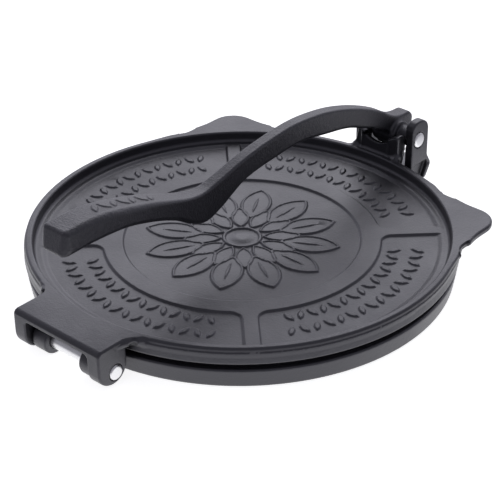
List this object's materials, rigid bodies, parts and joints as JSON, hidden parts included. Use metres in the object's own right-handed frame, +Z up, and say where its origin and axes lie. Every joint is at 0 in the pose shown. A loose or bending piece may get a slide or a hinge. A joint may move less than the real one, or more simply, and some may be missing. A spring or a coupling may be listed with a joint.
{
  "type": "tortilla press",
  "caption": "Round cast iron tortilla press with hinged plates and a long arched lever laid down over the lid.",
  "frame": {"origin": "middle of the press's footprint, at table level, 5.15 mm in front of the centre of the round plates", "axes": "+Z up, +Y from the plates' hinge to the lever's pin, +X to the right of that line"},
  "size_m": [0.2044, 0.2466, 0.07],
  "materials": {
    "iron": "matte",
    "pin_steel": "satin"
  },
  "bodies": {
    "base": {"base_plate": "iron", "lever_pin": "pin_steel"},
    "lid": {"top_plate": "iron", "hinge_pin": "pin_steel"},
    "arm": {"lever": "iron"}
  },
  "joints": [
    {"name": "lever_pivot", "type": "hinge", "parent": "base", "child": "arm", "pos_m": [0, 0.10785, 0.0285], "axis": [-1, 0, 0], "range_deg": [0, 175]},
    {"name": "lid_hinge", "type": "hinge", "parent": "base", "child": "lid", "pos_m": [0, -0.11355, 0.0068], "axis": [1, 0, 0], "range_deg": [0, 85]}
  ],
  "couplings": [
    {"joint": "lid_hinge", "follows": "lever_pivot", "ratio": 0.1}
  ]
}
